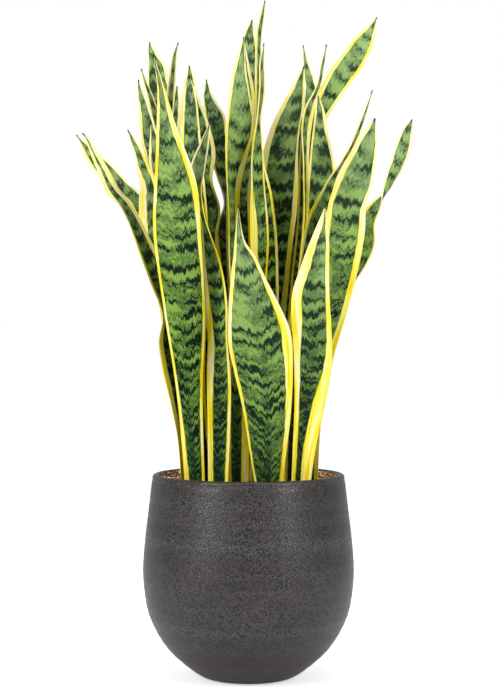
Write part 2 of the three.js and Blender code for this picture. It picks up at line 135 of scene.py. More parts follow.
class Finish:
    """A surface finish, mixed from nodes that end in one shader."""

    def __init__(self, name, roughness, specular=0.5):
        self.material = bpy.data.materials.new(name)
        self.material.use_nodes = True
        self.tree = self.material.node_tree
        self.shader = self.tree.nodes["Principled BSDF"]
        self.shader.inputs["Roughness"].default_value = roughness
        self.shader.inputs["Specular IOR Level"].default_value = specular

    def add(self, kind, inputs, output=0, **settings):
        """A new node with these inputs, of which one output is handed on."""
        node = self.tree.nodes.new(kind)
        for setting, value in settings.items():
            setattr(node, setting, value)
        for socket, value in inputs.items():
            if isinstance(value, bpy.types.NodeSocket):
                self.tree.links.new(value, node.inputs[socket])
            else:
                node.inputs[socket].default_value = value
        return node.outputs[output]

    def own_place(self):
        """Where a point lies on its piece."""
        return self.add("ShaderNodeTexCoord", {}, output="Object")

    def stored(self, name, output="Vector"):
        """What a piece's mesh holds under that name."""
        return self.add("ShaderNodeAttribute", {}, output=output, attribute_name=name)

    def maths(self, operation, *values):
        return self.add("ShaderNodeMath", dict(enumerate(values)), operation=operation)

    def place(self, x, y=0.0, z=0.0):
        return self.add("ShaderNodeCombineXYZ", {0: x, 1: y, 2: z})

    def parts(self, vector):
        node = self.add("ShaderNodeSeparateXYZ", {0: vector}).node
        return node.outputs[0], node.outputs[1], node.outputs[2]

    def noise(self, place, scale=1.0, detail=2.0, roughness=0.5):
        inputs = {"Vector": place, "Scale": scale, "Detail": detail, "Roughness": roughness}
        return self.add("ShaderNodeTexNoise", inputs)

    def step(self, value, start, end):
        """0 below the start, 1 above the end and smooth between them."""
        inputs = {0: value, 1: start, 2: end}
        return self.add("ShaderNodeMapRange", inputs, interpolation_type="SMOOTHSTEP")

    def ramp(self, value, start, end, low, high):
        """The low number at the start, the high one at the end and even between them."""
        return self.add("ShaderNodeMapRange", {0: value, 1: start, 2: end, 3: low, 4: high})

    def between(self, share, low, high):
        """A colour at that share of the way from the low one to the high one."""
        inputs = {0: share, 6: low, 7: high}
        return self.add("ShaderNodeMix", inputs, output=2, data_type="RGBA")

    def colour(self, value):
        self.tree.links.new(value, self.shader.inputs["Base Color"])

    def gloss(self, value):
        self.tree.links.new(value, self.shader.inputs["Roughness"])

    def relief(self, height, depth):
        """Bumps: the height from 0 to 1 stands for a depth in metres."""
        bump = self.add("ShaderNodeBump", {"Height": height, "Distance": depth})
        self.tree.links.new(bump, self.shader.inputs["Normal"])

    def put_on(self, piece):
        piece.data.materials.clear()
        piece.data.materials.append(self.material)


def rgb(red, green, blue):
    """A linear colour from the screen values 0 to 255 of a finish."""
    return tuple((c / 255) ** SCREEN_GAMMA for c in (red, green, blue)) + (1.0,)


def pot_profile():
    """The pot's outline from the middle of its underside, over the lip, to the middle of its floor."""
    outer = smooth_wall(OUTER_WALL, WALL_STEPS)
    level = outer[:, 1]
    wander = RIDGE_WANDER * np.sin(level / RIDGE_WANDER_HEIGHT)
    ridges = np.sin(2 * math.pi * level / THROWING_PITCH + wander)
    fade = np.clip(level / RIDGES_FADE, 0, 1) * np.clip((RIDGES_TOP - level) / RIDGES_FADE, 0, 1)
    outer[:, 0] -= THROWING_RIDGE * (1 - ridges) * fade
    outer[:, 0] -= LIP_GROOVE * np.exp(-(((level - LIP_GROOVE_HEIGHT) / LIP_GROOVE_WIDTH) ** 2))
    lip_radius = WALL / 2
    lip_centre = (RIM_RADIUS - lip_radius, POT_HEIGHT - lip_radius)
    angles = [math.pi * step / LIP_STEPS for step in range(1, LIP_STEPS)]
    lip = [
        (lip_centre[0] + lip_radius * math.cos(a), lip_centre[1] + lip_radius * math.sin(a))
        for a in angles
    ]
    inner = [
        (radius - WALL, height)
        for radius, height in smooth_wall(OUTER_WALL, WALL_STEPS // 2)[::-1]
        if height > FLOOR_THICKNESS + FLOOR_CORNER
    ]
    floor_edge = (inner[-1][0] - FLOOR_CORNER * 2, FLOOR_THICKNESS)
    return [(0, 0), *outer, *lip, *inner, floor_edge, (0, FLOOR_THICKNESS)]


def pot_glaze():
    """Brown-black glaze in clouds and level bands, broken by fine dark worms above the foot."""
    glaze = Finish("stoneware_glaze", roughness=0.45, specular=0.55)
    dark = rgb(46, 40, 37)
    light = rgb(60, 55, 53)
    banded = rgb(70, 67, 66)
    sunk_line = rgb(2, 2, 2)
    bare = rgb(38, 30, 26)
    place = glaze.own_place()
    _, _, height = glaze.parts(place)
    worms = glaze.noise(place, scale=GRIT_SCALE, detail=1, roughness=0.4)
    worms = glaze.maths("ABSOLUTE", glaze.maths("SUBTRACT", worms, 0.5))
    raised = glaze.step(worms, 0.01, 0.12)
    cloud = glaze.noise(place, scale=CLOUD_SCALE, detail=3, roughness=0.6)
    band = glaze.noise(glaze.place(0.0, 0.0, height), scale=BAND_SCALE, detail=2)
    foot = glaze.step(height, BARE_FOOT_TOP, BARE_FOOT_FULL)
    body = glaze.between(glaze.step(cloud, 0.3, 0.7), dark, light)
    body = glaze.between(glaze.step(band, 0.42, 0.7), body, banded)
    body = glaze.between(raised, sunk_line, body)
    glaze.colour(glaze.between(foot, body, bare))
    glaze.gloss(glaze.ramp(band, 0.3, 0.7, 0.34, 0.26))
    rough = glaze.maths("SUBTRACT", 1.0, glaze.maths("MULTIPLY", foot, BARE_FOOT_SMOOTHNESS))
    glaze.relief(glaze.maths("MULTIPLY", raised, rough), GRIT_DEPTH)
    return glaze


pot = turned("glazed_pot", pot_profile(), POT_SIDES)
pot_glaze().put_on(pot)
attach(pot, "root")
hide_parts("pot")

# The soil: bark-brown potting mix that fills the pot nearly to the lip, with a hole round the
# foot of every leaf. Loose crumbs and slivers of bark lie all over its top.
CRUMBS_PER_SQUARE_METRE = 95000.0
CRUMB_SIZE = 0.0058
CRUMB_SEED = 7
CRUMB_SHAPES = [(1.0, 0.75, 0.55), (1.5, 0.45, 0.35), (1.25, 0.9, 0.28)]
CRUMB_TILT = 0.6
SMALLEST_CRUMB = 0.45
LARGEST_CRUMB = 1.25
CRUMB_TONE_SEED = 3
CRUMB_DENT_SCALE = 300.0
CRUMB_DENT = 0.004
SOIL_TOP = 0.2545
LEAST_LEVEL = 0.6


def soil_finish():
    """Fine, dark mix, seen between the crumbs."""
    mix = Finish("potting_mix", roughness=0.95, specular=0.2)
    grain = mix.noise(mix.own_place(), scale=420, detail=3, roughness=0.6)
    mix.colour(mix.between(mix.step(grain, 0.35, 0.65), rgb(52, 34, 22), rgb(120, 82, 52)))
    mix.relief(grain, 0.002)
    return mix


def crumb_finish():
    """Bark of many tones, a stored one for each crumb, from dark brown to pale, fresh wood, whose
    palest tone is partly a painted highlight.
    """
    bark = Finish("bark_crumbs", roughness=0.85, specular=0.25)
    tone = bark.stored("tone", output="Fac")
    grain = bark.noise(bark.own_place(), scale=900, detail=2)
    shade = bark.maths("ADD", tone, bark.maths("MULTIPLY", bark.maths("SUBTRACT", grain, 0.5), 0.5))
    dark = bark.between(bark.step(shade, 0.1, 0.45), rgb(44, 26, 17), rgb(150, 96, 58))
    # The palest crumbs are partly a painted highlight.
    bark.colour(bark.between(bark.step(shade, 0.6, 0.85), dark, rgb(244, 216, 178)))
    bark.relief(grain, 0.0006)
    return bark


def crumb_tree(finish):
    """Nodes that scatter crumbs of a few shapes over the upper faces of the soil."""
    tree = bpy.data.node_groups.new("scatter_crumbs", "GeometryNodeTree")
    tree.interface.new_socket("Geometry", in_out="INPUT", socket_type="NodeSocketGeometry")
    inputs = {
        name: tree.interface.new_socket(name, in_out="INPUT", socket_type=kind)
        for name, kind in [
            ("Density", "NodeSocketFloat"),
            ("Crumb size", "NodeSocketFloat"),
            ("Lowest", "NodeSocketFloat"),
            ("Seed", "NodeSocketInt"),
        ]
    }
    tree.interface.new_socket("Geometry", in_out="OUTPUT", socket_type="NodeSocketGeometry")

    def node(kind, feeds, **settings):
        made = tree.nodes.new(kind)
        for setting, value in settings.items():
            setattr(made, setting, value)
        for socket, value in feeds.items():
            if isinstance(value, bpy.types.NodeSocket):
                tree.links.new(value, made.inputs[socket])
            else:
                made.inputs[socket].default_value = value
        return made.outputs

    def random_number(low, high, seed):
        feeds = {2: low, 3: high, "Seed": seed}
        return node("FunctionNodeRandomValue", feeds, data_type="FLOAT")[1]

    given = node("NodeGroupInput", {})
    height = node("ShaderNodeSeparateXYZ", {0: node("GeometryNodeInputPosition", {})[0]})[2]
    slope = node("ShaderNodeSeparateXYZ", {0: node("GeometryNodeInputNormal", {})[0]})[2]
    high = node("ShaderNodeMath", {0: height, 1: given["Lowest"]}, operation="GREATER_THAN")[0]
    level = node("ShaderNodeMath", {0: slope, 1: LEAST_LEVEL}, operation="GREATER_THAN")[0]
    upper = node("ShaderNodeMath", {0: high, 1: level}, operation="MULTIPLY")[0]
    points = node(
        "GeometryNodeDistributePointsOnFaces",
        {
            "Mesh": given["Geometry"],
            "Selection": upper,
            "Density": given["Density"],
            "Seed": given["Seed"],
        },
    )[0]
    shapes = tree.nodes.new("GeometryNodeJoinGeometry")
    for scale in CRUMB_SHAPES:
        ball = node("GeometryNodeMeshIcoSphere", {"Radius": 0.5, "Subdivisions": 1})[0]
        shaped = node("GeometryNodeTransform", {"Geometry": ball, "Scale": scale})[0]
        kept = node("GeometryNodeGeometryToInstance", {0: shaped})[0]
        tree.links.new(kept, shapes.inputs[0])
    turn = node(
        "FunctionNodeRandomValue",
        {
            0: (-CRUMB_TILT, -CRUMB_TILT, 0.0),
            1: (CRUMB_TILT, CRUMB_TILT, 2 * math.pi),
            "Seed": given["Seed"],
        },
        data_type="FLOAT_VECTOR",
    )[0]
    growth = random_number(SMALLEST_CRUMB, LARGEST_CRUMB, given["Seed"])
    size = node("ShaderNodeMath", {0: growth, 1: given["Crumb size"]}, operation="MULTIPLY")[0]
    crumbs = node(
        "GeometryNodeInstanceOnPoints",
        {
            "Points": points,
            "Instance": shapes.outputs[0],
            "Pick Instance": True,
            "Rotation": turn,
            "Scale": size,
        },
    )[0]
    toned = node(
        "GeometryNodeStoreNamedAttribute",
        {"Geometry": crumbs, "Name": "tone", "Value": random_number(0.0, 1.0, CRUMB_TONE_SEED)},
        data_type="FLOAT",
        domain="INSTANCE",
    )[0]
    real = node("GeometryNodeRealizeInstances", {0: toned})[0]
    place = node("GeometryNodeInputPosition", {})[0]
    rough = node("ShaderNodeTexNoise", {"Vector": place, "Scale": CRUMB_DENT_SCALE})["Color"]
    centred = node("ShaderNodeVectorMath", {0: rough, 1: (0.5, 0.5, 0.5)}, operation="SUBTRACT")[0]
    push = node("ShaderNodeVectorMath", {0: centred, "Scale": CRUMB_DENT}, operation="SCALE")[0]
    uneven = node("GeometryNodeSetPosition", {"Geometry": real, "Offset": push})[0]
    done = node("GeometryNodeSetMaterial", {"Geometry": uneven, "Material": finish})[0]
    node("NodeGroupOutput", {0: done})
    return tree, inputs


def grown(name, base, tree, settings):
    """A plain mesh object of what a tree of geometry nodes makes on a copy of a base object."""
    carrier = base.copy()
    carrier.data = base.data.copy()
    carrier.parent = None
    scene.collection.objects.link(carrier)
    modifier = carrier.modifiers.new("nodes", "NODES")
    modifier.node_group = tree
    for identifier, value in settings.items():
        modifier[identifier] = value
    depsgraph = bpy.context.evaluated_depsgraph_get()
    mesh = bpy.data.meshes.new_from_object(carrier.evaluated_get(depsgraph), depsgraph=depsgraph)
    mesh.name = name
    bpy.data.objects.remove(carrier)
    piece = bpy.data.objects.new(name, mesh)
    scene.collection.objects.link(piece)
    return piece


soil_finish().put_on(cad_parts["soil"])
scatter, scatter_inputs = crumb_tree(crumb_finish().material)
crumbs = grown("bark_crumbs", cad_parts["soil"], scatter, {
    scatter_inputs["Density"].identifier: CRUMBS_PER_SQUARE_METRE,
    scatter_inputs["Crumb size"].identifier: CRUMB_SIZE,
    scatter_inputs["Lowest"].identifier: SOIL_TOP,
    scatter_inputs["Seed"].identifier: CRUMB_SEED,
})
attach(crumbs, "root")

# The leaves: stiff, thick blades that rise from the soil, each grown in one piece. The foot is a
# deep channel, the blade is nearly flat and leans, bows or twists, and the tip is a short awl.
# Every blade is green with jagged dark bands, inside golden margins.
MM = 0.001
BLADE_RINGS = 130
BLADE_COLUMNS = 25
RING_CROWDING = 1.3
AIM_STEP = 0.01
EDGE_THICKNESS = 1.0
FOOT_THICKNESS = 6.0
BLADE_THICKNESS = 2.6
THICKNESS_GAIN = 0.12
FOOT_CHANNEL = 0.26
BLADE_CHANNEL = 0.1
CHANNEL_DEPTH_SHARE = 0.4
FOOT_FADE = 190
NARROWEST = 1.6
EDGE_WAVE = 0.035
WAVE_LENGTH = 150
EDGE_ROUNDING = 40
MARGIN_FULL_WIDTH = 16

# In millimetres. The stations run from foot to tip: x, y, z, width and the turn of the face in
# degrees. The margins: share of the length, left width and right width. A bend of 1 opens the
# channel on the face and of -1 on the back, and light is how pale the green is, from 0 to 1:
# partly the leaf's own tone, partly painted shade for leaves deep in the clump, whose feet
# below about 0.6 also get painted shade.
LEAVES = {
    "leaf_01": dict(
        bend=1,
        light=0.5,
        margins=[(0, 5, 4), (0.6, 5, 4), (0.9, 4, 3)],
        stations=[
            (-62, 9, 232, 24, 30), (-71, 8, 321, 28, 20), (-91, 8, 401, 34, 0), (-98, 8, 481, 36, -20),
            (-117, 10, 546, 35, -35), (-129, 12, 591, 32, -45), (-148, 15, 632, 31, -50),
            (-171, 18, 653, 28, -35), (-195, 25, 676, 24, -15), (-210, 31, 692, 17, 0),
            (-222, 37, 709, 6, 0), (-231, 44, 721, 0, 0),
        ],
    ),
    "leaf_02": dict(
        bend=1,
        light=0.5,
        margins=[(0, 7, 4), (0.4, 12, 5), (0.55, 6, 6), (0.9, 5, 7)],
        stations=[
            (-79, -28, 232, 24, 40), (-83, -30, 312, 29, 42), (-92, -31, 368, 34, 45),
            (-105, -32, 440, 40, 45), (-104, -32, 478, 38, 57), (-119, -33, 525, 38, 56),
            (-133, -35, 561, 37, 58), (-150, -38, 601, 33, 58), (-162, -42, 623, 28, 55),
            (-176, -47, 641, 20, 40), (-188, -53, 667, 14, 15), (-198, -58, 687, 10, 0),
            (-207, -64, 706, 5, 0), (-213, -68, 713, 0, 0),
        ],
    ),
    "leaf_03": dict(
        bend=1,
        light=0.55,
        margins=[(0, 6, 5), (0.6, 9, 4), (0.72, 12, 3), (0.84, 9, 3), (0.9, 3, 3)],
        stations=[
            (-64, -7, 232, 24, 0), (-82, -5, 401, 34, -20), (-97, -6, 475, 36, -35),
            (-113, -7, 539, 36, -35), (-126, -8, 577, 34, -30), (-130, -9, 625, 29, -20),
            (-132, -10, 648, 22, -5), (-138, -12, 671, 16, 0), (-144, -14, 691, 11, 0),
            (-153, -17, 712, 5, 0), (-158, -19, 722, 0, 0),
        ],
    ),
    "leaf_04": dict(
        bend=1,
        light=0.5,
        margins=[(0, 6, 6), (0.7, 4, 5), (0.95, 3, 3)],
        stations=[
            (-60, 38, 232, 24, 0), (-87, 35, 406, 32, 0), (-101, 37, 527, 38, -15),
            (-115, 42, 634, 37, -25), (-125, 49, 695, 30, -25), (-132, 54, 716, 26, -25),
            (-137, 58, 742, 20, -25), (-140, 61, 757, 16, -25), (-144, 64, 772, 12, -25),
            (-147, 67, 785, 6, -25), (-149, 70, 798, 0, -25),
        ],
    ),
    "leaf_05": dict(
        bend=1,
        light=0.4,
        margins=[(0, 6, 6), (0.8, 3, 5), (0.95, 2, 3)],
        stations=[
            (-52, 58, 232, 24, 15), (-82, 64, 432, 34, 25), (-100, 68, 580, 34, 45),
            (-116, 76, 690, 28, 55), (-127, 84, 749, 20, 60), (-134, 90, 776, 14, 60),
            (-142, 96, 799, 5, 50), (-147, 100, 817, 0, 50),
        ],
    ),
    "leaf_06": dict(
        bend=1,
        light=0.5,
        margins=[(0, 6, 6), (0.8, 4, 4), (0.95, 3, 2)],
        stations=[
            (-61, 23, 232, 24, 0), (-88, 22, 433, 34, 0), (-105, 25, 580, 33, -12),
            (-114, 28, 657, 26, -15), (-121, 30, 680, 23, -15), (-125, 32, 707, 15, -15),
            (-128, 34, 727, 6, -15), (-130, 36, 738, 0, -15),
        ],
    ),
    "leaf_07": dict(
        bend=1,
        light=0.4,
        margins=[(0, 6, 6), (0.8, 3, 6), (0.95, 2, 3)],
        stations=[
            (-40, 76, 232, 24, 15), (-78, 80, 405, 36, 0), (-93, 86, 554, 43, -15),
            (-108, 99, 691, 42, -25), (-116, 112, 761, 39, -25), (-124, 121, 798, 32, -25),
            (-127, 128, 819, 27, -25), (-132, 136, 835, 17, -25), (-136, 144, 848, 9, -25),
            (-138, 150, 860, 0, -25),
        ],
    ),
    "leaf_08": dict(
        bend=-1,
        light=0.65,
        margins=[
            (0, 7, 3), (0.15, 6, 3), (0.3, 3.5, 3), (0.5, 3, 3), (0.62, 4, 5), (0.72, 4, 8),
            (0.85, 4, 6), (0.95, 3, 3),
        ],
        stations=[
            (-68, -48, 232, 25, 0), (-76, -56, 367, 33, -8), (-82, -66, 478, 52, -5),
            (-91, -79, 582, 61, 0), (-93, -91, 645, 54, 0), (-103, -106, 712, 27, 0),
            (-110, -119, 765, 9, 0), (-119, -131, 805, 0, 0),
        ],
    ),
    "leaf_09": dict(
        bend=1,
        light=0.6,
        margins=[(0, 6, 5), (0.8, 7, 4), (0.95, 4, 3)],
        stations=[
            (-36, 48, 232, 24, 0), (-74, 51, 405, 34, 10), (-85, 56, 526, 36, 20),
            (-97, 65, 662, 32, 40), (-107, 76, 744, 26, 55), (-107, 83, 780, 20, 62),
            (-105, 88, 802, 16, 60), (-103, 93, 823, 11, 55), (-100, 98, 841, 5, 40),
            (-96, 102, 853, 0, 30),
        ],
    ),
    "leaf_10": dict(
        bend=1,
        light=0.45,
        margins=[(0, 5, 6), (0.7, 4, 7), (0.95, 2, 6)],
        stations=[
            (-38, 7, 232, 24, 0), (-54, 9, 406, 29, 0), (-77, 11, 526, 31, 10), (-92, 15, 659, 26, 20),
            (-97, 18, 719, 17, 25), (-95, 20, 752, 13, 25), (-95, 22, 771, 9, 25),
            (-95, 24, 784, 0, 25),
        ],
    ),
    "leaf_11": dict(
        bend=1,
        light=0.35,
        margins=[(0, 5, 7), (0.55, 4, 12), (0.72, 3, 9), (0.8, 3, 5), (0.95, 3, 3)],
        stations=[
            (-30, 26, 232, 24, 0), (-38, 29, 366, 34, -10), (-44, 31, 500, 40, -40),
            (-49, 34, 587, 42, -60), (-45, 36, 620, 43, -60), (-58, 40, 660, 39, -50),
            (-63, 44, 700, 38, -10), (-73, 48, 741, 35, 0), (-77, 50, 762, 27, 0),
            (-79, 53, 782, 19, 0), (-79, 57, 797, 13, 0), (-80, 62, 816, 0, 0),
        ],
    ),
    "leaf_12": dict(
        bend=1,
        light=0.35,
        margins=[(0, 5, 3), (0.6, 4, 3), (0.85, 3, 3), (0.95, 2, 2)],
        stations=[
            (-54, -24, 232, 22, 10), (-69, -30, 368, 26, 15), (-70, -28, 442, 28, 0),
            (-70, -17, 592, 38, -15), (-74, -9, 685, 29, -20), (-75, -7, 724, 25, -20),
            (-76, -6, 756, 20, -20), (-77, -5, 776, 13, -20), (-78, -5, 794, 0, -20),
        ],
    ),
    "leaf_13": dict(
        bend=1,
        light=0.35,
        margins=[(0, 5, 5), (0.6, 4, 5), (0.95, 2, 3)],
        stations=[
            (-14, 54, 232, 24, 0), (-30, 57, 432, 38, 20), (-34, 60, 567, 36, 45),
            (-31, 62, 601, 34, 48), (-29, 64, 630, 30, 68), (-35, 68, 663, 28, 50),
            (-37, 72, 683, 28, 25), (-40, 77, 704, 30, 5), (-43, 82, 725, 29, 0), (-45, 87, 746, 27, 0),
            (-52, 94, 766, 19, 0), (-56, 99, 781, 12, 0), (-57, 105, 794, 5, 0), (-58, 109, 803, 0, 0),
        ],
    ),
    "leaf_14": dict(
        bend=1,
        light=0.6,
        margins=[(0, 6, 4), (0.27, 7, 4), (0.4, 10, 4), (0.54, 5, 4), (0.8, 3, 3)],
        stations=[
            (-40, -47, 232, 24, 0), (-38, -48, 369, 31, 0), (-38, -49, 447, 34, -40),
            (-40, -50, 499, 34, -38), (-46, -51, 547, 34, -45), (-58, -53, 608, 33, -82),
            (-66, -54, 641, 32, -65), (-64, -56, 670, 28, -45), (-57, -59, 696, 18, -40),
            (-49, -63, 728, 0, -40),
        ],
    ),
    "leaf_15": dict(
        bend=1,
        light=0.75,
        margins=[(0, 6, 8), (0.5, 7, 12), (0.7, 7, 12), (0.78, 5, 4), (0.95, 4, 2)],
        stations=[
            (-15, -22, 232, 27, 15), (-15, -24, 368, 36, 40), (-13, -28, 482, 46, 60),
            (-20, -25, 578, 49, 70), (-22, -23, 644, 50, 70), (-18, -21, 692, 50, 58),
            (-12, -19, 732, 43, 30), (-12, -17, 767, 30, 18), (-12, -16, 794, 20, 15),
            (-9, -15, 820, 9, 15), (-6, -14, 844, 0, 15),
        ],
    ),
    "leaf_16": dict(
        bend=1,
        light=0.4,
        margins=[(0, 6, 6), (0.95, 3, 4)],
        stations=[
            (-7, 3, 232, 24, 0), (-5, 17, 401, 36, -5), (-8, 20, 562, 42, -10), (-9, 22, 703, 37, -10),
            (-7, 26, 774, 30, -5), (-6, 28, 810, 15, 0), (-6, 30, 847, 0, 0),
        ],
    ),
    "leaf_17": dict(
        bend=1,
        light=0.35,
        margins=[(0, 6, 6), (0.95, 2, 3)],
        stations=[
            (4, 30, 232, 24, 10), (6, 32, 401, 38, 5), (3, 35, 562, 46, -10), (0, 40, 702, 39, -15),
            (1, 46, 769, 31, -15), (2, 53, 821, 25, -15), (2, 58, 855, 16, -15), (5, 63, 878, 0, -15),
        ],
    ),
    "leaf_18": dict(
        bend=1,
        light=0.5,
        margins=[(0, 5, 4), (0.7, 9, 3), (0.85, 8, 2), (0.95, 4, 2)],
        stations=[
            (24, 4, 232, 24, -10), (22, 3, 401, 36, -10), (21, 4, 499, 38, 0), (19, 5, 578, 38, 0),
            (15, 5, 631, 34, 10), (11, 4, 678, 28, 45), (11, 4, 737, 26, 75), (12, 4, 801, 20, 66),
            (13, 3, 846, 12, 50), (19, 2, 881, 5, 30), (22, 2, 894, 0, 0),
        ],
    ),
    "leaf_19": dict(
        bend=1,
        light=0.6,
        margins=[(0, 6, 3), (0.5, 15, 3), (0.62, 16, 3), (0.68, 7, 3), (0.72, 3, 3)],
        stations=[
            (34, -30, 232, 24, 10), (30, -27, 402, 34, 20), (15, -24, 500, 30, 50),
            (13, -22, 579, 35, 50), (11, -21, 650, 32, 53), (11, -21, 696, 24, 52),
            (13, -22, 738, 18, 78), (17, -24, 774, 14, 60), (17, -27, 806, 10, 50),
            (20, -30, 833, 0, 50),
        ],
    ),
    "leaf_20": dict(
        bend=1,
        light=0.5,
        margins=[(0, 6, 6), (0.7, 8, 8), (0.8, 8, 3), (0.95, 4, 2)],
        stations=[
            (22, 46, 232, 24, 0), (23, 44, 370, 36, 0), (28, 43, 475, 43, -10), (35, 43, 573, 54, -20),
            (41, 44, 634, 57, -25), (44, 47, 693, 53, -25), (50, 51, 727, 45, -25),
            (59, 56, 756, 34, -25), (67, 61, 785, 18, -25), (75, 68, 816, 0, -25),
        ],
    ),
    "leaf_21": dict(
        bend=1,
        light=0.6,
        margins=[(0, 5, 5), (0.95, 2, 3)],
        stations=[
            (42, 64, 232, 24, 0), (62, 64, 400, 36, 10), (81, 65, 571, 46, 28), (86, 75, 704, 40, 32),
            (86, 83, 760, 31, 32), (85, 91, 787, 21, 32), (81, 99, 809, 15, 32), (78, 107, 827, 7, 32),
            (75, 116, 851, 0, 32),
        ],
    ),
    "leaf_22": dict(
        bend=1,
        light=0.5,
        margins=[(0, 5, 6), (0.8, 4, 8), (0.95, 2, 2)],
        stations=[
            (54, 14, 232, 24, 30), (60, 15, 401, 32, 60), (74, 18, 606, 32, 80), (75, 21, 673, 30, 80),
            (75, 23, 703, 27, 70), (76, 25, 728, 23, 52), (81, 27, 754, 19, 42), (89, 29, 774, 10, 40),
            (94, 30, 787, 7, 35), (99, 32, 815, 5, 35), (104, 34, 841, 0, 40),
        ],
    ),
    "leaf_23": dict(
        bend=1,
        light=0.45,
        margins=[(0, 6, 5), (0.7, 7, 4), (0.85, 3, 4)],
        stations=[
            (64, 48, 232, 24, 0), (80, 47, 380, 36, 0), (88, 46, 500, 46, 15), (96, 48, 633, 46, 25),
            (98, 51, 681, 39, 25), (97, 54, 708, 31, 25), (96, 58, 729, 22, 25), (96, 62, 750, 16, 25),
            (95, 66, 765, 9, 25), (94, 70, 777, 0, 25),
        ],
    ),
    "leaf_24": dict(
        bend=1,
        light=0.75,
        margins=[(0, 6, 5), (0.75, 8, 4), (0.9, 4, 4)],
        stations=[
            (22, 78, 232, 24, -10), (40, 78, 400, 38, 0), (50, 80, 521, 43, 10), (66, 91, 663, 42, 18),
            (82, 102, 734, 32, 20), (104, 111, 771, 29, 20), (125, 121, 806, 34, 20),
            (146, 132, 835, 33, 20), (162, 144, 862, 25, 20), (172, 154, 880, 12, 20),
            (180, 163, 897, 0, 20),
        ],
    ),
    "leaf_25": dict(
        bend=1,
        light=0.5,
        margins=[(0, 6, 4), (0.7, 7, 4), (0.95, 3, 2)],
        stations=[
            (56, -14, 232, 24, 20), (63, -11, 463, 34, 45), (70, -10, 520, 36, 55),
            (80, -8, 571, 38, 55), (88, -5, 604, 36, 50), (100, -1, 632, 32, 50), (110, 3, 658, 24, 60),
            (122, 8, 679, 18, 70), (137, 14, 705, 16, 70), (150, 20, 736, 9, 60), (165, 27, 779, 0, 50),
        ],
    ),
    "leaf_26": dict(
        bend=1,
        light=0.7,
        margins=[(0, 6, 6), (0.5, 7, 7), (0.75, 8, 8), (0.83, 8, 3), (0.95, 6, 2)],
        stations=[
            (78, -34, 232, 27, -20), (78, -36, 331, 33, -10), (82, -39, 374, 35, 0),
            (92, -43, 440, 43, 8), (106, -48, 499, 51, 12), (117, -53, 551, 54, 18),
            (123, -58, 589, 55, 20), (126, -62, 621, 54, 20), (134, -67, 647, 51, 20),
            (140, -71, 666, 44, 20), (146, -75, 684, 35, 20), (151, -80, 702, 26, 20),
            (156, -85, 717, 14, 20), (161, -90, 730, 0, 20),
        ],
    ),
    "leaf_27": dict(
        bend=1,
        light=0.55,
        margins=[
            (0, 6, 10), (0.2, 7, 15), (0.35, 7, 15), (0.5, 8, 8), (0.62, 14, 5), (0.78, 12, 5),
            (0.9, 8, 4),
        ],
        stations=[
            (64, -58, 232, 24, 20), (70, -64, 306, 31, 18), (78, -72, 371, 41, 10),
            (82, -79, 423, 49, 5), (79, -89, 499, 49, 0), (84, -97, 537, 37, 0), (91, -106, 577, 22, 0),
            (97, -116, 618, 0, 0),
        ],
    ),
    "leaf_28": dict(
        bend=-1,
        light=0.7,
        margins=[(0, 4, 5), (0.7, 3, 5), (0.85, 1.5, 5), (0.95, 1.5, 3)],
        stations=[
            (77, 20, 232, 24, 115), (88, 16, 367, 34, 130), (107, 10, 459, 38, 130),
            (128, 6, 519, 42, 130), (143, 5, 546, 42, 130), (153, 4, 572, 42, 130),
            (156, 4, 599, 38, 125), (170, 4, 625, 32, 116), (182, 4, 645, 26, 72),
            (188, 4, 658, 24, 57), (197, 4, 678, 22, 30), (204, 4, 698, 20, 10), (207, 4, 710, 18, 0),
            (211, 4, 724, 12, 0), (216, 4, 738, 0, 0),
        ],
    ),
    "leaf_29": dict(
        bend=-1,
        light=0.75,
        margins=[
            (0, 2.5, 3), (0.25, 2.5, 6), (0.4, 4, 9), (0.53, 4.5, 13), (0.62, 4.5, 9), (0.75, 5, 4.5),
            (0.92, 3, 2),
        ],
        stations=[
            (26, -78, 232, 26, 0), (25, -86, 307, 48, 0), (24, -92, 359, 62, 0), (19, -99, 413, 76, 0),
            (14, -105, 450, 80, 0), (6, -112, 489, 64, 0), (0, -119, 519, 47, 0),
            (-5, -126, 547, 31, 0), (-11, -132, 572, 13, 0), (-13, -140, 617, 0, 0),
        ],
    ),
}


def midrib(stations, shares):
    """Every column of a leaf's stations, smooth along its length, and the length itself."""
    rows = np.array(stations, float)
    lengths = np.append(0, np.cumsum(np.linalg.norm(np.diff(rows[:, :3], axis=0), axis=1)))
    order = np.arange(len(rows))
    before, after = np.maximum(order - 1, 0), np.minimum(order + 1, len(rows) - 1)
    slopes = (rows[after] - rows[before]) / (lengths[after] - lengths[before])[:, None]
    reached = shares * lengths[-1]
    i = np.clip(np.searchsorted(lengths, reached) - 1, 0, len(rows) - 2)
    span = (lengths[i + 1] - lengths[i])[:, None]
    t = (reached - lengths[i])[:, None] / span
    rise = rows[i + 1] - rows[i]
    bent = slopes[i] * span * t * (1 - t) ** 2 - slopes[i + 1] * span * t**2 * (1 - t)
    return rows[i] + bent + rise * t**2 * (3 - 2 * t), lengths[-1]


def unit(vectors):
    """The same directions, one long."""
    return vectors / np.linalg.norm(vectors, axis=1, keepdims=True)


def blade_axes(stations, shares, turn):
    """For each ring of a blade, the directions across its width and out of its face."""
    ahead, _ = midrib(stations, np.minimum(shares + AIM_STEP, 1))
    behind, _ = midrib(stations, np.maximum(shares - AIM_STEP, 0))
    along = unit(ahead[:, :3] - behind[:, :3])
    level = np.stack([np.cos(turn), np.sin(turn), np.zeros(BLADE_RINGS)], axis=1)
    across = unit(level - along * np.sum(level * along, axis=1, keepdims=True))
    return across, unit(np.cross(across, along))


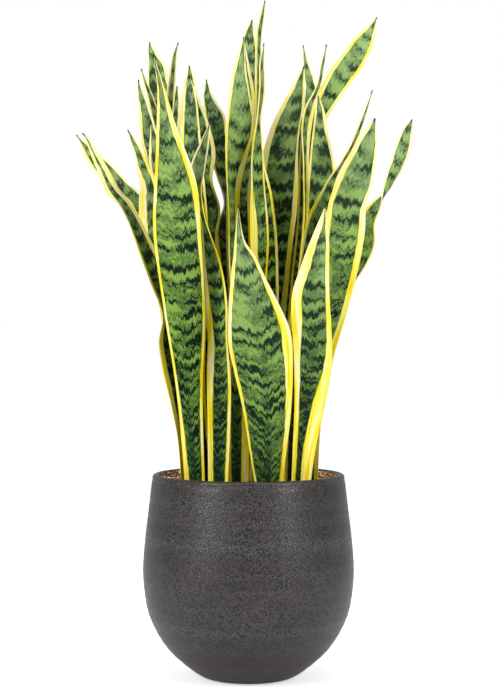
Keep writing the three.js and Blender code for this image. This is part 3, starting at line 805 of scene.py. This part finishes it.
def blade_faces():
    """The faces of any blade: the rings' quads, a point at the tip and a closed foot."""
    size = 2 * BLADE_COLUMNS - 2
    tip = BLADE_RINGS * size
    ring = np.arange(size)
    after = (ring + 1) % size
    faces = []
    for low in range(0, tip - size, size):
        high = low + size
        faces += np.stack([low + ring, low + after, high + after, high + ring], axis=1).tolist()
    faces += [(tip - size + i, tip - size + j, tip) for i, j in zip(ring.tolist(), after.tolist())]
    faces += [(0, size - 1, 1)]
    faces += [(i, size - i, size - i - 1, i + 1) for i in range(1, BLADE_COLUMNS - 2)]
    faces += [(BLADE_COLUMNS - 2, BLADE_COLUMNS, BLADE_COLUMNS - 1)]
    return faces


def leaf_blade(name, order, leaf):
    """One leaf as a closed, round-edged blade that carries its own coordinates on its points."""
    shares = 1 - (1 - np.arange(BLADE_RINGS) / BLADE_RINGS) ** RING_CROWDING
    rows, total = midrib(leaf["stations"], shares)
    across, face = blade_axes(leaf["stations"], shares, np.radians(rows[:, 4]))
    height = shares * total
    foot = np.exp(-((height / FOOT_FADE) ** 2))
    wide = np.maximum(rows[:, 3], NARROWEST)
    channel = leaf["bend"] * wide * (BLADE_CHANNEL + (FOOT_CHANNEL - BLADE_CHANNEL) * foot)
    middle = BLADE_THICKNESS + (FOOT_THICKNESS - BLADE_THICKNESS) * foot
    thickness = np.minimum(middle, EDGE_THICKNESS + THICKNESS_GAIN * wide)
    wave = EDGE_WAVE * wide * (1 - foot) * np.sin(2 * math.pi * height / WAVE_LENGTH + order)

    # The points run across the face, where q is -1 at the left edge and 1 at the right one, and
    # return across the back.
    face_columns = np.sin(np.linspace(-math.pi / 2, math.pi / 2, BLADE_COLUMNS))
    q = np.concatenate([face_columns, face_columns[-2:0:-1]])
    side = np.concatenate([np.ones(BLADE_COLUMNS), -np.ones(BLADE_COLUMNS - 2)])
    half = (EDGE_THICKNESS + np.outer(thickness - EDGE_THICKNESS, 1 - q**2)) / 2
    half = half * side * np.sqrt(1 - q**EDGE_ROUNDING)
    curl = np.outer(channel, q**2 - CHANNEL_DEPTH_SHARE) + np.outer(wave, q**2 * np.sign(q))
    points = (
        rows[:, None, :3]
        + across[:, None, :] * (np.outer(wide, q) / 2)[:, :, None]
        + face[:, None, :] * (curl + half)[:, :, None]
    )
    points = np.concatenate([points.reshape(-1, 3), midrib(leaf["stations"], np.ones(1))[0][:, :3]])
    piece = new_piece(name, (points * MM).tolist(), blade_faces())

    # On the points, blade holds the fibre from left to right, the length from the foot and how
    # far the point lies inside its margin. The second attribute holds the leaf's number, its light,
    # which is partly painted shade, and the length that is left to its tip.
    margins = np.array(leaf["margins"], float)
    full = np.minimum(wide / MARGIN_FULL_WIDTH, 1)
    left = np.interp(shares, margins[:, 0], margins[:, 1]) * full
    right = np.interp(shares, margins[:, 0], margins[:, 2]) * full
    from_left = np.outer(wide / 2, 1 + q) - left[:, None]
    from_right = np.outer(wide / 2, 1 - q) - right[:, None]
    inset = np.minimum(from_left, from_right)
    widest = max(station[3] for station in leaf["stations"])
    fibre = np.tile(q * widest / 2, (BLADE_RINGS, 1))
    length = np.tile(height[:, None], (1, len(q)))
    blade = np.stack([fibre.ravel(), length.ravel(), inset.ravel()], axis=1)
    blade = np.concatenate([blade, [[0, total, 1]]])
    number = np.full(len(blade), order)
    light = np.full(len(blade), leaf["light"])
    number_light_reach = np.stack([number, light, total - blade[:, 1]], axis=1)
    for title, values in (("blade", blade), ("number_light_reach", number_light_reach)):
        attribute = piece.data.attributes.new(title, "FLOAT_VECTOR", "POINT")
        attribute.data.foreach_set("vector", values.astype(np.float32).ravel())
    return piece


# The leaves' finish, also in millimetres. The dark bands stand a pitch apart on the upper blade
# and crowd towards the foot. They fall towards the midrib, in teeth with frayed edges.
BAND_PITCH = 26.0
CROWDED_BANDS = -12.6
CROWDED_LENGTH = -130.0
BAND_FALL = 0.15
TOOTH_HALF_WIDTH = 5.5
TOOTH_DRIFT = 22.0
FRAY = 9.0
HATCH_PITCH = 2.6
HATCH_FALL = -0.4
FOOT_SHADE_LENGTH = -160.0
TIP_BLOOM_AND_SHEEN_LENGTH = -150.0
MIDLINE_WIDTH = 7.0
LEAF_RELIEF = 0.0005
LEAF_APART = 37.0
BAND_DARK = rgb(0, 8, 5)
GREEN_LADDER = [
    (0.43, 0.46, rgb(134, 166, 76)),
    (0.46, 0.49, rgb(60, 100, 32)),
    (0.52, 0.62, rgb(132, 166, 64)),
]
FLECK = rgb(66, 104, 38)
# The tip's paler, greyer green: partly the leaf's own bloom, partly a painted sheen.
BLOOM_AND_SHEEN_DARK = rgb(64, 92, 62)
BLOOM_AND_SHEEN_LIGHT = rgb(154, 176, 130)
# The foot's darker green is partly the leaf's own and partly painted shade near the soil.
FOOT_GREEN_AND_SHADE = rgb(12, 42, 28)
# A darker, bluish-green line down the middle of the foot.
MIDLINE_GREEN = rgb(16, 44, 38)
# Nearly black painted shade for the feet of leaves that stand deep in the clump.
SHADED_FOOT = rgb(2, 8, 4)
GOLD = rgb(232, 204, 14)
GOLD_LADDER = [
    (0.4, 0.56, rgb(244, 230, 84)),
    (0.56, 0.74, rgb(246, 236, 176)),
]
GOLD_STREAK = rgb(140, 132, 30)
MARGIN_LINE = rgb(96, 118, 34)
DRY_TIP = rgb(46, 56, 26)


def leaf_finish():
    """Green blades with jagged dark bands, a darker foot partly in painted shade, a paler tip partly in
    painted sheen and golden margins.
    """
    leaf = Finish("variegated_leaf", roughness=0.4, specular=0.05)
    fibre, length, inset = leaf.parts(leaf.stored("blade"))
    number, light, reach = leaf.parts(leaf.stored("number_light_reach"))
    apart = leaf.maths("MULTIPLY", number, LEAF_APART)
    foot = leaf.maths("EXPONENT", leaf.maths("DIVIDE", length, FOOT_SHADE_LENGTH))
    near_tip = leaf.maths("EXPONENT", leaf.maths("DIVIDE", reach, TIP_BLOOM_AND_SHEEN_LENGTH))
    from_middle = leaf.maths("ABSOLUTE", fibre)

    def patches(fibre_width, dash_length, detail=1.0):
        """Noise of that size across and along the leaf, and other noise on every leaf."""
        x = leaf.maths("DIVIDE", fibre, fibre_width)
        y = leaf.maths("DIVIDE", length, dash_length)
        return leaf.noise(leaf.place(x, y, apart), detail=detail)

    def grain(fibre_width, dash_length, detail=1.0):
        """The same from about -0.5 to 0.5."""
        return leaf.maths("SUBTRACT", patches(fibre_width, dash_length, detail), 0.5)

    def total(first, *others):
        for other in others:
            first = leaf.maths("ADD", first, other)
        return first

    def times(first, *others):
        for other in others:
            first = leaf.maths("MULTIPLY", first, other)
        return first

    # Where a point lies among the bands: its level, counted in bands from the foot.
    fall = leaf.maths("ADD", BAND_FALL, foot)
    drift = times(grain(12.0, 45.0), TOOTH_DRIFT)
    teeth = leaf.maths("PINGPONG", total(fibre, drift), TOOTH_HALF_WIDTH)
    slope = total(length, times(from_middle, fall, -1.0), times(grain(1.7, 9.0), FRAY))
    level = total(slope, teeth)
    crowded = leaf.maths("EXPONENT", leaf.maths("DIVIDE", level, CROWDED_LENGTH))
    count = total(leaf.maths("DIVIDE", level, BAND_PITCH), times(crowded, CROWDED_BANDS))
    beat = leaf.maths("SINE", times(count, 2 * math.pi))
    band_place = leaf.place(times(count, 2.2), leaf.maths("DIVIDE", fibre, 45.0), apart)
    bands = leaf.noise(band_place, detail=1.0)
    hatch_level = leaf.maths("DIVIDE", total(slope, times(from_middle, HATCH_FALL)), HATCH_PITCH)
    hatch_place = leaf.place(hatch_level, leaf.maths("DIVIDE", fibre, 7.0), apart)
    hatch = leaf.noise(hatch_place, detail=1.0)
    # Leaves of low light and points near the foot get a darker tone: partly their own colour, partly
    # painted shade.
    tone = total(
        bands,
        times(beat, 0.09),
        times(leaf.maths("SUBTRACT", hatch, 0.5), 0.36),
        times(leaf.maths("SUBTRACT", light, 0.6), 0.3),
        times(foot, -0.16),
    )

    # The green of the blade.
    green = BAND_DARK
    for start, end, shade in GREEN_LADDER:
        green = leaf.between(leaf.step(tone, start, end), green, shade)
    green = leaf.between(leaf.step(grain(1.6, 5.0), 0.1, 0.2), green, FLECK)
    # Towards the tip the green turns paler and greyer: the leaf's own bloom with a painted sheen.
    bloom_and_sheen = leaf.between(leaf.step(tone, 0.3, 0.6), BLOOM_AND_SHEEN_DARK, BLOOM_AND_SHEEN_LIGHT)
    green = leaf.between(times(near_tip, 0.75), green, bloom_and_sheen)
    # A darker, bluish-green line runs down the middle of the foot.
    midline_spread = leaf.maths("DIVIDE", from_middle, MIDLINE_WIDTH)
    dark_midline = leaf.maths("EXPONENT", times(midline_spread, midline_spread, -1.0))
    # A darker foot: partly the leaf's own green, partly painted shade near the soil.
    green = leaf.between(times(foot, 0.65), green, FOOT_GREEN_AND_SHADE)
    green = leaf.between(times(dark_midline, foot, 0.8), green, MIDLINE_GREEN)
    # Leaves of low light, deep in the clump, get a nearly black painted shade on their feet.
    painted_foot_shade = times(foot, leaf.step(light, 0.62, 0.4))
    green = leaf.between(times(painted_foot_shade, 0.85), green, SHADED_FOOT)

    # The gold of the margins, with paler patches and fine olive streaks along its inner side.
    patch = patches(7.0, 70.0, detail=2.0)
    # Towards the tip the gold also pales as painted light; the patches and grain are its own.
    pale = total(patch, times(near_tip, 0.3), times(grain(1.8, 130.0), 0.5))
    gold = GOLD
    for start, end, shade in GOLD_LADDER:
        gold = leaf.between(leaf.step(pale, start, end), gold, shade)
    streak = leaf.step(grain(0.8, 90.0, 2.0), 0.13, 0.2)
    inner = leaf.step(inset, -5.0, -0.5)
    gold = leaf.between(times(streak, inner, 0.6), gold, GOLD_STREAK)

    # Both meet at a slightly wavy line, and the awl of the tip is dry.
    wavy = total(inset, times(grain(3.0, 14.0), 2.2))
    rim = leaf.between(leaf.step(wavy, 0.5, 1.4), MARGIN_LINE, green)
    surface = leaf.between(leaf.step(wavy, -0.2, 0.25), gold, rim)
    leaf.colour(leaf.between(leaf.step(reach, 7.0, 2.0), surface, DRY_TIP))
    leaf.gloss(leaf.ramp(grain(2.0, 60.0), -0.3, 0.3, 0.30, 0.44))
    leaf.relief(leaf.maths("ADD", grain(1.1, 160.0, 2.0), 0.5), LEAF_RELIEF)
    return leaf


leaf_skin = leaf_finish()
for order, (node_name, leaf) in enumerate(LEAVES.items()):
    blade = leaf_blade(f"{node_name}_blade", order, leaf)
    leaf_skin.put_on(blade)
    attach(blade, "root")
    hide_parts(node_name)

# The studio: a white floor under a white sky, with two tall soft lights in front, left and
# right, whose soft marks show on the pot's shoulders, and a large one overhead.
FLOOR_REACH = 60.0
PAPER_WHITE = 0.9
PAPER_GLOW = 0.55
SKY_LIGHT = 0.5
SKY_SEEN = 1.0
SOFT_LIGHTS = [
    ("left_light", (-2.0, -1.9, 1.5), (0.9, 1.5), 46.0),
    ("right_light", (2.0, -1.9, 1.5), (0.9, 1.5), 40.0),
    ("top_light", (0.0, -0.6, 2.6), (1.8, 1.8), 20.0),
]
LIT_POINT = Vector((0, 0, 0.45))

floor_corners = [(-1, -1), (1, -1), (1, 1), (-1, 1)]
floor = new_piece(
    "studio_floor",
    [(FLOOR_REACH * x, FLOOR_REACH * y, 0) for x, y in floor_corners],
    [(0, 1, 2, 3)],
)
paper = Finish("white_paper", roughness=0.9, specular=0.1)
paper.shader.inputs["Base Color"].default_value = (PAPER_WHITE, PAPER_WHITE, PAPER_WHITE, 1)
paper.shader.inputs["Emission Color"].default_value = (1, 1, 1, 1)
straight_seen = paper.add("ShaderNodeLightPath", {}, output="Is Camera Ray")
glow = paper.maths("MULTIPLY", straight_seen, PAPER_GLOW)
paper.tree.links.new(glow, paper.shader.inputs["Emission Strength"])
paper.put_on(floor)

for name, place, size, power in SOFT_LIGHTS:
    light_data = bpy.data.lights.new(name, "AREA")
    light_data.shape = "RECTANGLE"
    light_data.size, light_data.size_y = size
    light_data.energy = power
    light = bpy.data.objects.new(name, light_data)
    light.location = place
    light.rotation_euler = (LIT_POINT - Vector(place)).to_track_quat("-Z", "Y").to_euler()
    scene.collection.objects.link(light)

sky = bpy.data.worlds.new("white_sky")
sky.use_nodes = True
background = sky.node_tree.nodes["Background"]
seen = sky.node_tree.nodes.new("ShaderNodeLightPath").outputs["Is Camera Ray"]
strength = sky.node_tree.nodes.new("ShaderNodeMapRange")
strength.inputs["To Min"].default_value = SKY_LIGHT
strength.inputs["To Max"].default_value = SKY_SEEN
sky.node_tree.links.new(seen, strength.inputs["Value"])
sky.node_tree.links.new(strength.outputs[0], background.inputs["Strength"])
background.inputs["Color"].default_value = (1, 1, 1, 1)
scene.world = sky
scene.view_settings.view_transform = "Standard"
